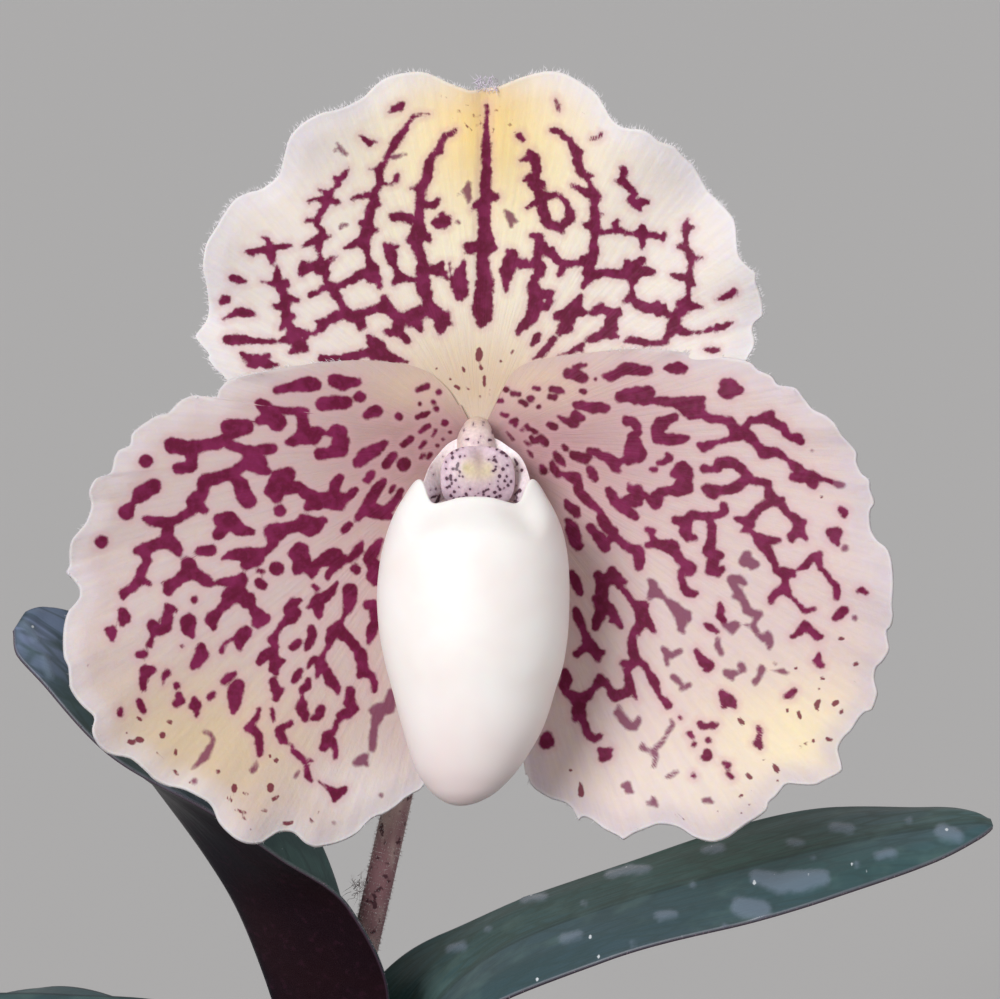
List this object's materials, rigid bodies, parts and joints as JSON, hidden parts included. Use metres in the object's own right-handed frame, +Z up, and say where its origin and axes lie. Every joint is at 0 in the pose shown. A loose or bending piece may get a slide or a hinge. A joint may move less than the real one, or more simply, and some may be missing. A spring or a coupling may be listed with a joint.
{
  "type": "paphiopedilum orchid",
  "caption": "Potted slipper orchid with one broad white flower blotched in maroon, an egg-shaped white pouch and strap leaves.",
  "frame": {"origin": "centre of the pot's flat foot, on the surface that the pot stands on", "axes": "+Z up; the flower faces -Y; +X to the right of a viewer who looks at the flower"},
  "size_m": [0.1632, 0.1024, 0.19],
  "materials": {
    "terracotta": "matte, unglazed",
    "bark": "rough",
    "root": "felted",
    "leaf": "satin, mottled",
    "stem": "hairy",
    "ovary": "hairy",
    "sepal": "satin, blotched",
    "petal": "satin, blotched",
    "pouch": "waxy",
    "column": "satin, dotted",
    "staminode": "satin, dotted"
  },
  "bodies": {
    "root": {"pot": "terracotta", "potting_mix": "bark", "rootstock": "root", "leaf_right_1": "leaf", "leaf_right_2": "leaf", "leaf_right_3": "leaf", "leaf_left_1": "leaf", "leaf_left_2": "leaf", "leaf_left_3": "leaf", "scape": "stem", "bract": "stem", "ovary": "ovary", "dorsal_sepal": "sepal", "synsepal": "sepal", "petal_left": "petal", "petal_right": "petal", "pouch": "pouch", "column": "column", "staminode": "staminode"}
  },
  "joints": []
}
